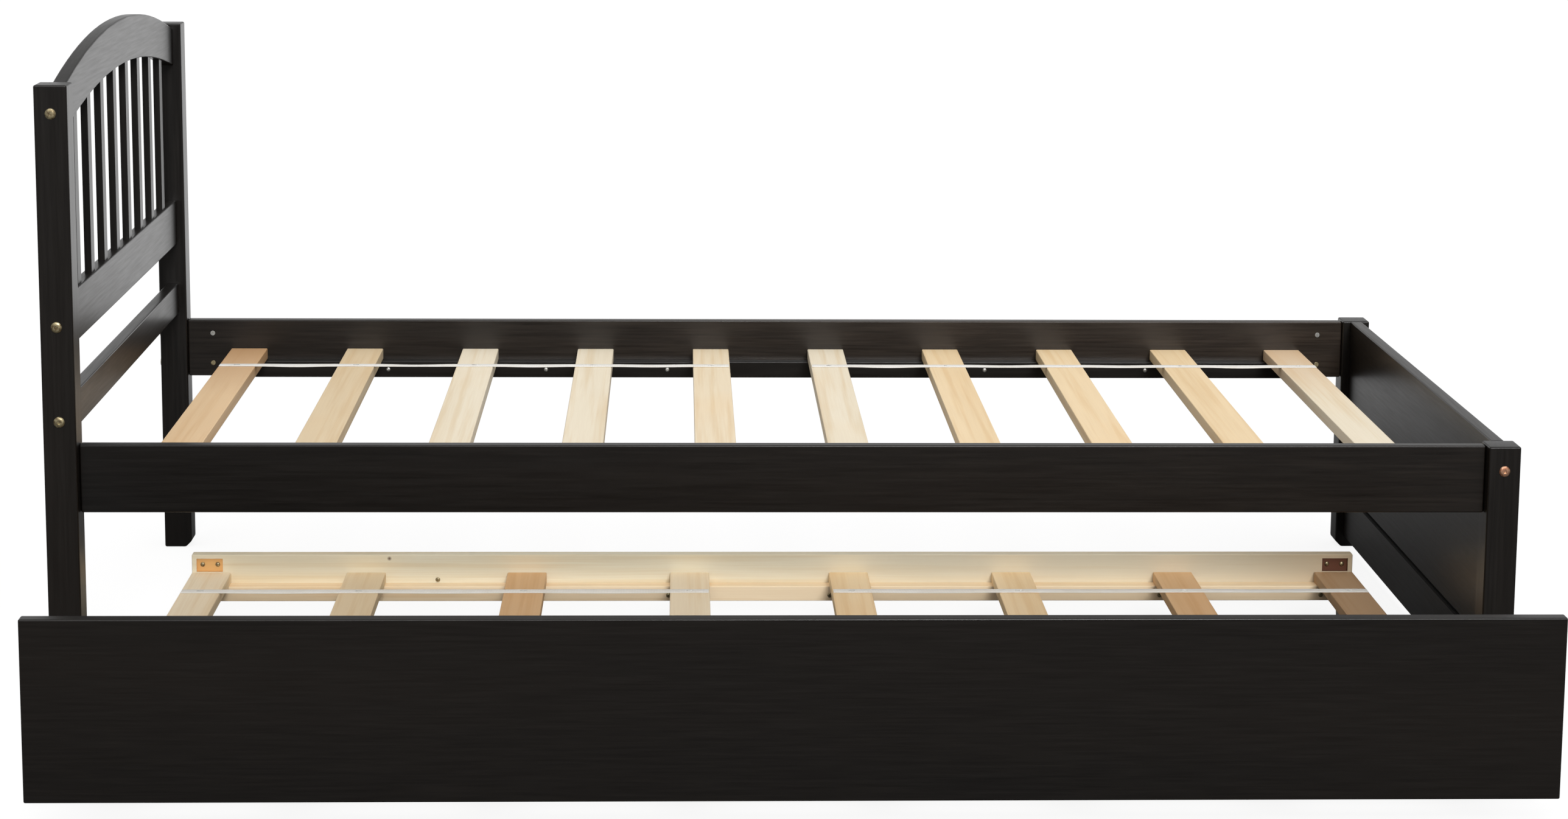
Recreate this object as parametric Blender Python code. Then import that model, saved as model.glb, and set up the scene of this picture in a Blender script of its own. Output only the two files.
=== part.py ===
"""A wooden single bed with a roll-out trundle under it.

Metres, +Z up. X runs from the headboard (-X) to the footboard (+X), and the trundle rolls out towards -Y.
The origin is on the floor, under the middle of the whole object with the trundle pulled out as built.
"""

from math import cos, pi, sin

import bmesh
import bpy
from mathutils import Vector

# Whole bed
BED_LENGTH = 2.030
BED_WIDTH = 1.055
FIT = 0.0003  # gap between two pieces that touch

# Posts and rails
POST = 0.045  # square section
HEAD_POST_HEIGHT = 0.883
FOOT_POST_HEIGHT = 0.3895
POST_CHAMFER = 0.010  # on the inner bottom edge
BOARD = 0.019  # thickness of every dark board
SIDE_RAIL_INSET = 0.018  # from the posts' outer faces to the rail's outer face
SIDE_RAIL_Z = (0.2925, 0.3875)

# Headboard
ARCH_TOP_END = 0.8744
ARCH_TOP_MIDDLE = 0.9300
ARCH_BOTTOM_END = 0.8140
ARCH_BOTTOM_MIDDLE = 0.8624
ARCH_STEPS = 22
MID_RAIL_Z = (0.5175, 0.5900)
LOWER_RAIL_Z = (0.3995, 0.4500)
SPINDLES = 8
SPINDLE_PITCH = 0.1072
SPINDLE_WIDTH = 0.025
SPINDLE_THICKNESS = 0.0100
MORTISE = 0.012  # how far a spindle goes into each rail

# Footboard
FOOT_SPLIT_Z = 0.100  # between the lower rail and the panel above it
FOOT_BOTTOM_Z = 0.019
FOOT_GAP = 0.004  # open line between the panel and the lower rail

# Bed slats, their ledgers and their straps
SLAT_WIDTH = 0.060
SLAT_END_GAP = 0.0015
BED_SLAT_THICKNESS = 0.0180
BED_SLATS = 10
BED_SLAT_PITCH = 0.1928
BED_SLAT_TOP = 0.3395
LEDGER_WIDTH = 0.020
LEDGER_BOTTOM = 0.2940
STRAP_WIDTH = 0.020
STRAP_THICKNESS = 0.0012
STRAP_TO_RAIL = 0.158  # from a rail's inner face to the strap's middle

# Trundle
PULLED_OUT = 0.446  # how far the front panel stands in front of the posts
PANEL_LENGTH = 1.930
PANEL_THICKNESS = 0.020
PANEL_Z = (0.0300, 0.2662)
DECK_LENGTH = 1.793
REAR_BOARD_Z = (0.0350, 0.1080)
REAR_BOARD_THICKNESS = 0.020
DECK_DEPTH = 0.946  # from the front panel's back face to the rear board's inner face
DECK_SLAT_THICKNESS = 0.0160
DECK_SLAT_TOP = 0.0805
DECK_SLAT_STEPS = (0.237, 0.247, 0.250, 0.245, 0.252, 0.251, 0.251)  # from middle to middle, head to foot
DECK_LEDGER_WIDTH = 0.025
DECK_LEDGER_BOTTOM = 0.0410
DECK_STRAP_TO_BOARD = 0.120
POCKET_SIZE = (0.040, 0.0205)  # routed into the rear board above each end slat
POCKET_DEPTH = 0.006
POCKET_FROM_END = 0.0075
POCKET_BOTTOM = 0.0812

# Casters
WHEEL_RADIUS = 0.025
WHEEL_WIDTH = 0.018
WHEEL_SEGMENTS = 24
HUB_RADIUS = 0.0075
HUB_WIDTH = 0.0205
TREAD_EDGE = 0.0025
WEB_WIDTH = 0.010
RIM_INNER_RADIUS = 0.0185
AXLE_RADIUS = 0.0030
AXLE_CLEARANCE = 0.0001
RIVET_RADIUS = 0.0050
RIVET_THICKNESS = 0.0015
RIVET_OVERLAP = 0.0002  # sunk into the cheek, so that the two join
BRACKET_STEEL = 0.002
BRACKET_INSIDE = 0.0215  # between the cheeks
BRACKET_PLATE = (0.042, 0.058)
BRACKET_CHEEK_TOP = 0.040
BRACKET_NOSE = 0.008  # radius of the cheek round the axle
BRACKET_NOSE_STEPS = 12
CASTER_FROM_LEDGER = 0.080  # from a ledger's face to the axle

# Edge rounding
POST_ROUND = 0.0025
BOARD_ROUND = 0.0020
SLAT_ROUND = 0.0015

# Derived places
HALF_LENGTH = BED_LENGTH / 2
Y_FRONT = (PULLED_OUT - BED_WIDTH) / 2  # front face of the front posts
Y_REAR = Y_FRONT + BED_WIDTH
Y_MIDDLE = (Y_FRONT + Y_REAR) / 2
BOARD_INSET = (POST - BOARD) / 2  # head and foot boards sit in the middle of the posts
RAIL_IN_FRONT = Y_FRONT + SIDE_RAIL_INSET + BOARD  # inner face of the front side rail
RAIL_IN_REAR = Y_REAR - SIDE_RAIL_INSET - BOARD
BED_SLAT_BOTTOM = BED_SLAT_TOP - BED_SLAT_THICKNESS
DECK_SLAT_BOTTOM = DECK_SLAT_TOP - DECK_SLAT_THICKNESS
PANEL_FRONT = Y_FRONT - PULLED_OUT
DECK_FRONT = PANEL_FRONT + PANEL_THICKNESS
DECK_REAR = DECK_FRONT + DECK_DEPTH

ESPRESSO = ("espresso_wood", (0.016, 0.012, 0.010), 0.32, 0.0)
PINE = ("pine_wood", (0.78, 0.60, 0.38), 0.55, 0.0)
WEBBING = ("white_webbing", (0.82, 0.82, 0.80), 0.85, 0.0)
ZINC = ("zinc_steel", (0.62, 0.63, 0.64), 0.35, 1.0)
NYLON = ("black_nylon", (0.03, 0.03, 0.032), 0.45, 0.0)


def clear_scene():
    for old in list(bpy.data.objects):
        bpy.data.objects.remove(old)


def material(look):
    """Each sub-part gets its own Principled material."""
    name, color, roughness, metallic = look
    made = bpy.data.materials.new(name)
    made.use_nodes = True
    shader = made.node_tree.nodes["Principled BSDF"]
    shader.inputs["Base Color"].default_value = (*color, 1.0)
    shader.inputs["Roughness"].default_value = roughness
    shader.inputs["Metallic"].default_value = metallic
    return made


def empty(name, location=(0.0, 0.0, 0.0), parent=None):
    made = bpy.data.objects.new(name, None)
    made.location = location
    made.parent = parent
    bpy.context.scene.collection.objects.link(made)
    return made


def new_object(name, form, location, look=None, parent=None):
    """An object made from a bmesh, with its origin at location, given in the parent's frame if it has one."""
    mesh = bpy.data.meshes.new(name)
    bmesh.ops.recalc_face_normals(form, faces=form.faces)
    form.to_mesh(mesh)
    form.free()
    made = bpy.data.objects.new(name, mesh)
    made.location = location
    made.parent = parent
    bpy.context.scene.collection.objects.link(made)
    if look:
        mesh.materials.append(material(look))
    return made


def block_form(size):
    """A box of this size about the origin."""
    form = bmesh.new()
    bmesh.ops.create_cube(form, size=1.0)
    bmesh.ops.scale(form, vec=size, verts=form.verts)
    return form


def box(name, low, high, look=None, parent=None, rounding=0.0):
    """A board between two corners, with its edges rounded."""
    low, high = Vector(low), Vector(high)
    middle = (low + high) / 2
    made = new_object(name, block_form(high - low), middle, look, parent)
    round_edges(made, rounding)
    return made


def round_edges(piece, radius, segments=2):
    if radius:
        bevel = piece.modifiers.new("edge rounding", "BEVEL")
        bevel.width = radius
        bevel.segments = segments
        bevel.limit_method = "ANGLE"


def extrude_outline(points, depth, along):
    """A closed outline of 2-D points, extruded through depth about zero, along X or along Y."""
    form = bmesh.new()
    place = {
        "X": lambda u, v, d: (d, u, v),
        "Y": lambda u, v, d: (u, d, v),
    }[along]
    near = [form.verts.new(place(u, v, -depth / 2)) for u, v in points]
    far = [form.verts.new(place(u, v, depth / 2)) for u, v in points]
    form.faces.new(near)
    form.faces.new(far[::-1])
    count = len(points)
    for i in range(count):
        j = (i + 1) % count
        form.faces.new((near[i], near[j], far[j], far[i]))
    return form


def cut(piece, cutter):
    """Subtracts a hidden cutter from a piece."""
    cutter.hide_render = True
    cutter.display_type = "WIRE"
    boolean = piece.modifiers.new("cut " + cutter.name, "BOOLEAN")
    boolean.operation = "DIFFERENCE"
    boolean.object = cutter


def join(piece, addition):
    """Adds a hidden helper solid to a piece."""
    addition.hide_render = True
    addition.display_type = "WIRE"
    boolean = piece.modifiers.new("join " + addition.name, "BOOLEAN")
    boolean.operation = "UNION"
    boolean.object = addition


def post(name, end, y_low, height, parent):
    """A square post. end is -1 at the head and +1 at the foot; the inner bottom edge is chamfered."""
    outer = end * HALF_LENGTH
    inner = end * (HALF_LENGTH - POST)
    outline = [
        (outer, 0.0),
        (outer, height),
        (inner, height),
        (inner, POST_CHAMFER),
        (inner + end * POST_CHAMFER, 0.0),
    ]
    form = extrude_outline(outline, POST, "Y")
    made = new_object(name, form, (0.0, y_low + POST / 2, 0.0), ESPRESSO, parent)
    round_edges(made, POST_ROUND)


def posts(bed):
    places = {"front": Y_FRONT, "rear": Y_REAR - POST}
    for side, y_low in places.items():
        post(f"head_post_{side}", -1, y_low, HEAD_POST_HEIGHT, bed)
        post(f"foot_post_{side}", 1, y_low, FOOT_POST_HEIGHT, bed)


def end_board_x(end):
    """(low, high) X of a head- or footboard's boards."""
    outer = end * (HALF_LENGTH - BOARD_INSET)
    inner = outer - end * BOARD
    return min(outer, inner), max(outer, inner)


def across(z_range, end):
    """Corners of a board between the two posts of one end."""
    x_low, x_high = end_board_x(end)
    low = (x_low, Y_FRONT + POST + FIT, z_range[0])
    high = (x_high, Y_REAR - POST - FIT, z_range[1])
    return low, high


def arch_height(y, end_height, middle_height):
    """Height of a circular arc through both ends and the middle, at y from the bed's middle."""
    half_span = BED_WIDTH / 2 - POST
    rise = middle_height - end_height
    radius = (half_span**2 + rise**2) / (2 * rise)
    return middle_height - radius + (radius**2 - y**2) ** 0.5


def spindle_places():
    return [(i - (SPINDLES - 1) / 2) * SPINDLE_PITCH for i in range(SPINDLES)]


def mortises(rail, z_low, z_high):
    """Cuts one mortise for each spindle in a headboard rail."""
    x_low, x_high = end_board_x(-1)
    x_middle = (x_low + x_high) / 2
    size = (SPINDLE_THICKNESS + 2 * FIT, SPINDLE_WIDTH + 2 * FIT, z_high - z_low)
    form = bmesh.new()
    for y in spindle_places():
        piece = bmesh.ops.create_cube(form, size=1.0)["verts"]
        bmesh.ops.scale(form, vec=size, verts=piece)
        bmesh.ops.translate(form, vec=(x_middle, Y_MIDDLE + y, (z_low + z_high) / 2), verts=piece)
    cut(rail, new_object("mortises_of_" + rail.name, form, (0.0, 0.0, 0.0)))


def arch_rail(bed):
    """The curved top rail, with the spindles' mortises in its underside."""
    half_span = BED_WIDTH / 2 - POST - FIT
    ys = [half_span * (2 * i / ARCH_STEPS - 1) for i in range(ARCH_STEPS + 1)]
    top = [(y, arch_height(y, ARCH_TOP_END, ARCH_TOP_MIDDLE)) for y in ys]
    bottom = [(y, arch_height(y, ARCH_BOTTOM_END, ARCH_BOTTOM_MIDDLE)) for y in reversed(ys)]
    form = extrude_outline(top + bottom, BOARD, "X")
    x_low, x_high = end_board_x(-1)
    middle = ((x_low + x_high) / 2, Y_MIDDLE, 0.0)
    rail = new_object("headboard_arch_rail", form, middle, ESPRESSO, bed)
    round_edges(rail, BOARD_ROUND)
    for index, y in enumerate(spindle_places()):
        top_of_spindle = spindle_top(y)
        form = block_form((SPINDLE_THICKNESS + 2 * FIT, SPINDLE_WIDTH + 2 * FIT, 2 * MORTISE))
        place = (middle[0], Y_MIDDLE + y, top_of_spindle + FIT - MORTISE)
        cut(rail, new_object(f"arch_mortise_{index + 1}", form, place))


def spindle_top(y):
    """A spindle's top end, which goes its mortise's depth into the arch on its lower side."""
    outer_side = abs(y) + SPINDLE_WIDTH / 2
    return arch_height(outer_side, ARCH_BOTTOM_END, ARCH_BOTTOM_MIDDLE) + MORTISE


def headboard(bed):
    arch_rail(bed)
    mid_rail = box("headboard_mid_rail", *across(MID_RAIL_Z, -1), ESPRESSO, bed, BOARD_ROUND)
    spindle_bottom = MID_RAIL_Z[1] - MORTISE
    mortises(mid_rail, spindle_bottom - FIT, MID_RAIL_Z[1] + MORTISE)
    box("headboard_lower_rail", *across(LOWER_RAIL_Z, -1), ESPRESSO, bed, BOARD_ROUND)
    x_low, x_high = end_board_x(-1)
    x_middle = (x_low + x_high) / 2
    for index, y in enumerate(spindle_places()):
        low = (x_middle - SPINDLE_THICKNESS / 2, Y_MIDDLE + y - SPINDLE_WIDTH / 2, spindle_bottom)
        high = (x_middle + SPINDLE_THICKNESS / 2, Y_MIDDLE + y + SPINDLE_WIDTH / 2, spindle_top(y))
        box(f"headboard_spindle_{index + 1}", low, high, ESPRESSO, bed)


def footboard(bed):
    panel_z = (FOOT_SPLIT_Z + FOOT_GAP / 2, FOOT_POST_HEIGHT - FIT)
    lower_z = (FOOT_BOTTOM_Z, FOOT_SPLIT_Z - FOOT_GAP / 2)
    box("footboard_panel", *across(panel_z, 1), ESPRESSO, bed, BOARD_ROUND)
    box("footboard_lower_rail", *across(lower_z, 1), ESPRESSO, bed, BOARD_ROUND)


def side_rails(bed):
    x_end = HALF_LENGTH - POST - FIT
    insides = {"front": (RAIL_IN_FRONT, -1), "rear": (RAIL_IN_REAR, 1)}
    for side, (inside, outward) in insides.items():
        ys = sorted((inside, inside + outward * BOARD))
        low = (-x_end, ys[0], SIDE_RAIL_Z[0])
        high = (x_end, ys[1], SIDE_RAIL_Z[1])
        box(f"side_rail_{side}", low, high, ESPRESSO, bed, BOARD_ROUND)
        ys = sorted((inside - outward * FIT, inside - outward * (FIT + LEDGER_WIDTH)))
        ledger_end = BED_SLAT_PITCH * (BED_SLATS - 1) / 2 + SLAT_WIDTH / 2
        low = (-ledger_end, ys[0], LEDGER_BOTTOM)
        high = (ledger_end, ys[1], BED_SLAT_BOTTOM - FIT)
        box(f"slat_ledger_{side}", low, high, ESPRESSO, bed, SLAT_ROUND)


def slat_places(steps):
    """Middles of the slats in X, spaced by these steps about the bed's middle."""
    places = [-sum(steps) / 2]
    for step in steps:
        places.append(places[-1] + step)
    return places


def slats(prefix, places, y_low, y_high, bottom, top, parent, digits):
    for index, x in enumerate(places):
        low = (x - SLAT_WIDTH / 2, y_low + SLAT_END_GAP, bottom)
        high = (x + SLAT_WIDTH / 2, y_high - SLAT_END_GAP, top)
        box(f"{prefix}_{index + 1:0{digits}d}", low, high, PINE, parent, SLAT_ROUND)


def straps(prefix, places, y_front, y_rear, top, parent):
    """Two webbing straps on each of the two roll-up sets of slats."""
    half = len(places) // 2
    for set_name, members in {"head": places[:half], "foot": places[half:]}.items():
        x_low = members[0] - SLAT_WIDTH / 2 + SLAT_ROUND
        x_high = members[-1] + SLAT_WIDTH / 2 - SLAT_ROUND
        for side, y in {"front": y_front, "rear": y_rear}.items():
            low = (x_low, y - STRAP_WIDTH / 2, top + FIT)
            high = (x_high, y + STRAP_WIDTH / 2, top + FIT + STRAP_THICKNESS)
            box(f"{prefix}_{set_name}_{side}", low, high, WEBBING, parent)


def bed_deck(bed):
    places = slat_places([BED_SLAT_PITCH] * (BED_SLATS - 1))
    slats("bed_slat", places, RAIL_IN_FRONT, RAIL_IN_REAR, BED_SLAT_BOTTOM, BED_SLAT_TOP, bed, 2)
    y_front = RAIL_IN_FRONT + STRAP_TO_RAIL
    y_rear = RAIL_IN_REAR - STRAP_TO_RAIL
    straps("bed_strap", places, y_front, y_rear, BED_SLAT_TOP, bed)


def trundle_boards(trundle):
    low = (-PANEL_LENGTH / 2, PANEL_FRONT, PANEL_Z[0])
    high = (PANEL_LENGTH / 2, DECK_FRONT, PANEL_Z[1])
    box("trundle_front_panel", low, high, ESPRESSO, trundle, BOARD_ROUND)
    low = (-DECK_LENGTH / 2, DECK_REAR, REAR_BOARD_Z[0])
    high = (DECK_LENGTH / 2, DECK_REAR + REAR_BOARD_THICKNESS, REAR_BOARD_Z[1])
    board = box("trundle_rear_board", low, high, PINE, trundle, SLAT_ROUND)
    for end in (-1, 1):
        x = end * (DECK_LENGTH / 2 - POCKET_FROM_END - POCKET_SIZE[0] / 2)
        form = block_form((POCKET_SIZE[0], 2 * POCKET_DEPTH, POCKET_SIZE[1]))
        place = (x, DECK_REAR, POCKET_BOTTOM + POCKET_SIZE[1] / 2)
        cut(board, new_object(f"pocket_{'head' if end < 0 else 'foot'}", form, place))
    half = DECK_LENGTH / 2
    for side, face, inward in (("front", DECK_FRONT, 1), ("rear", DECK_REAR, -1)):
        ys = sorted((face + inward * FIT, face + inward * (FIT + DECK_LEDGER_WIDTH)))
        low = (-half, ys[0], DECK_LEDGER_BOTTOM)
        high = (half, ys[1], DECK_SLAT_BOTTOM - FIT)
        box(f"trundle_ledger_{side}", low, high, PINE, trundle, SLAT_ROUND)


def trundle_deck(trundle):
    places = slat_places(DECK_SLAT_STEPS)
    slats("trundle_slat", places, DECK_FRONT, DECK_REAR, DECK_SLAT_BOTTOM, DECK_SLAT_TOP, trundle, 1)
    y_front = DECK_FRONT + DECK_STRAP_TO_BOARD
    y_rear = DECK_REAR - DECK_STRAP_TO_BOARD
    straps("trundle_strap", places, y_front, y_rear, DECK_SLAT_TOP, trundle)


def disc_form(radius, depth):
    """A disc about the origin with its axis along X."""
    points = [
        (radius * cos(2 * pi * i / WHEEL_SEGMENTS), radius * sin(2 * pi * i / WHEEL_SEGMENTS))
        for i in range(WHEEL_SEGMENTS)
    ]
    return extrude_outline(points, depth, "X")


def cheek_outline():
    """One side plate: wide at the top, round about the axle. Y and Z are measured from the axle."""
    top = DECK_SLAT_BOTTOM - FIT - BRACKET_STEEL / 2 - WHEEL_RADIUS
    angles = [pi + pi * i / BRACKET_NOSE_STEPS for i in range(BRACKET_NOSE_STEPS + 1)]
    arc = [(BRACKET_NOSE * cos(angle), BRACKET_NOSE * sin(angle)) for angle in angles]
    return [(-BRACKET_CHEEK_TOP / 2, top)] + arc + [(BRACKET_CHEEK_TOP / 2, top)]


def bracket(name, caster):
    """A rigid caster fork: top plate, two cheeks and the axle riveted through them, as one fixed piece."""
    plate_z = DECK_SLAT_BOTTOM - FIT - BRACKET_STEEL / 2 - WHEEL_RADIUS
    form = block_form((BRACKET_PLATE[0], BRACKET_PLATE[1], BRACKET_STEEL))
    bmesh.ops.translate(form, vec=(0.0, 0.0, plate_z), verts=form.verts)
    plate = new_object(name, form, (0.0, 0.0, 0.0), ZINC, caster)
    cheek_x = (BRACKET_INSIDE + BRACKET_STEEL) / 2
    for side in (-1, 1):
        form = extrude_outline(cheek_outline(), BRACKET_STEEL, "X")
        cheek = new_object(f"{name}_cheek_{side}", form, (side * cheek_x, 0.0, 0.0), None, caster)
        join(plate, cheek)
        rivet_x = side * (cheek_x + (BRACKET_STEEL + RIVET_THICKNESS) / 2 - RIVET_OVERLAP)
        form = disc_form(RIVET_RADIUS, RIVET_THICKNESS)
        join(plate, new_object(f"{name}_rivet_{side}", form, (rivet_x, 0.0, 0.0), None, caster))
    pin = new_object(f"{name}_axle", disc_form(AXLE_RADIUS, 2 * cheek_x), (0.0, 0.0, 0.0), None, caster)
    join(plate, pin)


def wheel_profile():
    """Half section of the wheel as (radius, X), from the bore out over the hub, web, rim and tread."""
    bore = AXLE_RADIUS + AXLE_CLEARANCE
    half = [
        (bore, HUB_WIDTH / 2),
        (HUB_RADIUS, HUB_WIDTH / 2),
        (HUB_RADIUS, WEB_WIDTH / 2),
        (RIM_INNER_RADIUS, WEB_WIDTH / 2),
        (RIM_INNER_RADIUS, WHEEL_WIDTH / 2),
        (WHEEL_RADIUS - TREAD_EDGE, WHEEL_WIDTH / 2),
        (WHEEL_RADIUS - TREAD_EDGE * (1 - sin(pi / 4)), WHEEL_WIDTH / 2 - TREAD_EDGE * (1 - cos(pi / 4))),
        (WHEEL_RADIUS, WHEEL_WIDTH / 2 - TREAD_EDGE),
    ]
    return half + [(radius, -x) for radius, x in reversed(half)]


def wheel(name, caster):
    """A turned wheel on the axle, with its origin on the axle. One point of its tread is straight down."""
    profile = wheel_profile()
    form = bmesh.new()
    rings = []
    for i in range(WHEEL_SEGMENTS):
        angle = 2 * pi * i / WHEEL_SEGMENTS
        rings.append([form.verts.new((x, r * cos(angle), r * sin(angle))) for r, x in profile])
    count = len(profile)
    for i, ring in enumerate(rings):
        after = rings[(i + 1) % WHEEL_SEGMENTS]
        for k in range(count):
            m = (k + 1) % count
            form.faces.new((ring[k], ring[m], after[m], after[k]))
    made = new_object(name, form, (0.0, 0.0, 0.0), NYLON, caster)
    made.data.shade_smooth()
    made.data.set_sharp_from_angle(angle=pi / 5)


def casters(trundle):
    """Four fixed casters under the ends of the outer slats; each wheel turns about its empty, on its axle."""
    x = slat_places(DECK_SLAT_STEPS)[-1]
    y_front = DECK_FRONT + DECK_LEDGER_WIDTH + CASTER_FROM_LEDGER
    y_rear = DECK_REAR - DECK_LEDGER_WIDTH - CASTER_FROM_LEDGER
    for end, end_name in ((-1, "head"), (1, "foot")):
        for side, y in (("front", y_front), ("rear", y_rear)):
            place = (end * x, y, WHEEL_RADIUS)
            caster = empty(f"caster_axis_{end_name}_{side}", place, trundle)
            bracket(f"caster_bracket_{end_name}_{side}", caster)
            wheel(f"caster_wheel_{end_name}_{side}", caster)


def main():
    clear_scene()
    bed = empty("bed")
    posts(bed)
    headboard(bed)
    footboard(bed)
    side_rails(bed)
    bed_deck(bed)
    trundle = empty("trundle")
    trundle_boards(trundle)
    trundle_deck(trundle)
    casters(trundle)


main()
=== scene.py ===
"""Looks of the trundle bed: wood, webbing and metal finishes, fasteners, straps, studio and camera."""

from math import cos, pi, radians, sin

import bmesh
import bpy
from mathutils import Matrix, Vector


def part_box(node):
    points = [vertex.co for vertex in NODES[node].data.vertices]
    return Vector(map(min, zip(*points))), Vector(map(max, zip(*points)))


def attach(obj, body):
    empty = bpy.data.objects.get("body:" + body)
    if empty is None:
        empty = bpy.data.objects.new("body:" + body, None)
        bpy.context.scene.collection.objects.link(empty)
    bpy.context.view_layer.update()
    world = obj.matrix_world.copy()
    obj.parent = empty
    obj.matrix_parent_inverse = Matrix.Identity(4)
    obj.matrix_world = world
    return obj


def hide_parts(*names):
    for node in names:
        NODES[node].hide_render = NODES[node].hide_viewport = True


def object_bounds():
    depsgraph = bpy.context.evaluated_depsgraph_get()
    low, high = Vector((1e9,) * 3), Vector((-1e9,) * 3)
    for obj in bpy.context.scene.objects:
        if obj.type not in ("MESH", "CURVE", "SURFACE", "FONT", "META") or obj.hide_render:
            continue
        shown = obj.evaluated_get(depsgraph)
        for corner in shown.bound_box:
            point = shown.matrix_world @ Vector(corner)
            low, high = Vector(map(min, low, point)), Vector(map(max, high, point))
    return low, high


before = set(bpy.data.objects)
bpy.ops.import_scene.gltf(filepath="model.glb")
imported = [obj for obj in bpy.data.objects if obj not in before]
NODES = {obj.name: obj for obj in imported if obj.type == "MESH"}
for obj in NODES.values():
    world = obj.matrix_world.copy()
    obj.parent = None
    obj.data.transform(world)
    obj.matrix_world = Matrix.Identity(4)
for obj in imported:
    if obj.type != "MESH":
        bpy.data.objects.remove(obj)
CAD_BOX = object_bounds()
FIT = 0.0003  # gap between pieces that touch
MM = 0.001
WHITE = (1.0, 1.0, 1.0, 1.0)
BLACK = (0.0, 0.0, 0.0, 1.0)

# Camera: in front of the bed and above its headboard, looking a little down and toward the foot end
CAMERA_AT = (-0.1506, -4.6853, 1.3280)
CAMERA_YAW = -1.876
CAMERA_PITCH = -9.231
CAMERA_ROLL = -0.431
CAMERA_LENS = 74.91
CAMERA_SHIFT = -0.08
SENSOR_WIDTH = 36.0
CLIP_END = 400.0

# Shading: angles in degrees above which an edge stays sharp, and how far flat faces rule the normals
SHARP_ANGLE = 50
FASTENER_SHARP_ANGLE = 32
FLAT_FACE_WEIGHT = 90
WELD_REACH = 0.00001

# Studio
FLOOR_SIZE = 160.0
FLOOR_DROP = 0.0004  # under the posts, so that no two faces lie in one plane
FLOOR_ALBEDO = 0.18
FLOOR_GLOW = 0.86  # as the camera sees it: pale, with a faint shadow
BACKDROP_GLOW = 1.05  # as the wood reflects it: a floor that runs up to a bright backdrop behind the bed
BACKDROP_START = (1.3, 3.8)
SKY_HORIZON = 1.15
SKY_DOME = 0.45
SKY_FALL = (0.06, 0.22)  # sine of the height at which the horizon's light begins and ends to fade
SKY_TURN = (-0.3, 0.3)  # the horizon is bright behind the bed only
SOFTBOXES = {  # strength, size in degrees, and turns from straight overhead toward the front and the foot
    "overhead": (1.25, 75.0, (26.0, 12.0)),
    "frontal": (1.65, 12.0, (70.0, 6.0)),
}

# Fastener shapes in millimetres: half sections as (radius, height), recesses with their bottom and top
ROUND_STEPS = 36
SCREW_STEPS = 28
WIRE_STEPS = 8
BOLT_PROFILE = ((0, 0), (7.2, 0), (7.5, 0.25), (7.5, 0.9), (7.0, 1.5), (5.6, 2.0), (4.2, 2.2), (0, 2.2))
BOLT_SOCKET = (2.9, 0.4, 4.0)  # radius to the corners, bottom, top
NUT_PROFILE = ((0, 0), (4.0, 0), (4.0, 0.35), (3.7, 0.6), (0, 0.6))
NUT_SLOT = (12.0, 1.1, 0.15, 2.0)  # length, width, bottom, top
SCREW_PROFILE = ((0, 0), (3.4, 0), (3.6, 0.3), (3.3, 1.0), (2.3, 1.6), (1.0, 1.8), (0, 1.8))
SCREW_CROSS = (3.6, 0.8, 0.5, 3.0)  # length, width, bottom, top
STAPLE_WIRE = 0.45  # radius
STAPLE_PATH = (  # along the crown, height, and how upright the wire's round section stands
    (-5.0, -0.9, 0.2),
    (-4.9, 0.1, 0.2),
    (-4.3, 0.45, 1.0),
    (4.3, 0.45, 1.0),
    (4.9, 0.1, 0.2),
    (5.0, -0.9, 0.2),
)

# Places of bolts and screws
ARCH_BOLT_RISE = 0.030  # above the arch rail's lowest point
PANEL_BOLT_DROP = 0.034  # below the footboard panel's top
LOWER_BOLT_DROP = 0.002  # below the headboard lower rail's middle
RAIL_BOLT_INSETS = (0.022, -0.0225)  # from the side rail's bottom and top
NUT_FROM_END = 0.041
LEDGER_SCREW_PLACES = (-0.635, -0.372, -0.169, 0.131, 0.364, 0.635)
DECK_SCREW_PLACES = (-0.868, -0.3825, -0.165, 0.083, 0.593, 0.843)
DECK_SCREW_HEIGHT = 0.4  # share of the ledger's height
BOARD_SCREW_PLACE = -0.52
BOARD_SCREW_RISE = 0.0045  # above the trundle ledger's top
POCKET_MIDDLE_FROM_END = 0.0275
POCKET_SIZE = (0.040, 0.006, 0.0205)
POCKET_RISE = 0.0007  # above the trundle slats' top
POCKET_SCREW_SPREAD = 0.0115
CASTER_PLATE = 0.002
CASTER_SCREW_INSET = 0.0055

# Degrees that heads are turned: the first one's, and the step to the next
BOARD_BOLT_SPIN = (17, 41)
RAIL_BOLT_SPIN = (23, 37)
NUT_SPIN = (90, 12)
LEDGER_SCREW_SPIN = 31
BOARD_SCREW_SPIN = 20
POCKET_SCREW_SPIN = 25
CASTER_SCREW_SPIN = 40

# Spline in the footboard
SPLINE_THICKNESS = 0.006
SPLINE_ROUND = 0.0006
GROOVE_LIP = 0.0035  # the rail's rounded top edge, painted black and rough as shade in the gap

# Webbing
WEBBING_THICKNESS = 0.0011
WEBBING_WIDTH = 0.020
WEBBING_STEP = 0.006
WEBBING_EDGE = 0.0007  # how far in from the edge the tape thins
WEBBING_LEAN = (53.0, 1.3)  # how the slack changes from one gap between slats to the next
WEBBING_TWIST = 0.05
WEBBING_DRIFT = 0.0012
BED_SAG = 0.0009
DECK_SAG = 0.0006


def srgb(red, green, blue):
    """A colour given in 0-255 display values, as linear light."""
    linear = []
    for value in (red, green, blue):
        v = value / 255
        linear.append(v / 12.92 if v <= 0.04045 else ((v + 0.055) / 1.055) ** 2.4)
    return (*linear, 1.0)


# ---------------------------------------------------------------- material helpers


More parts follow.
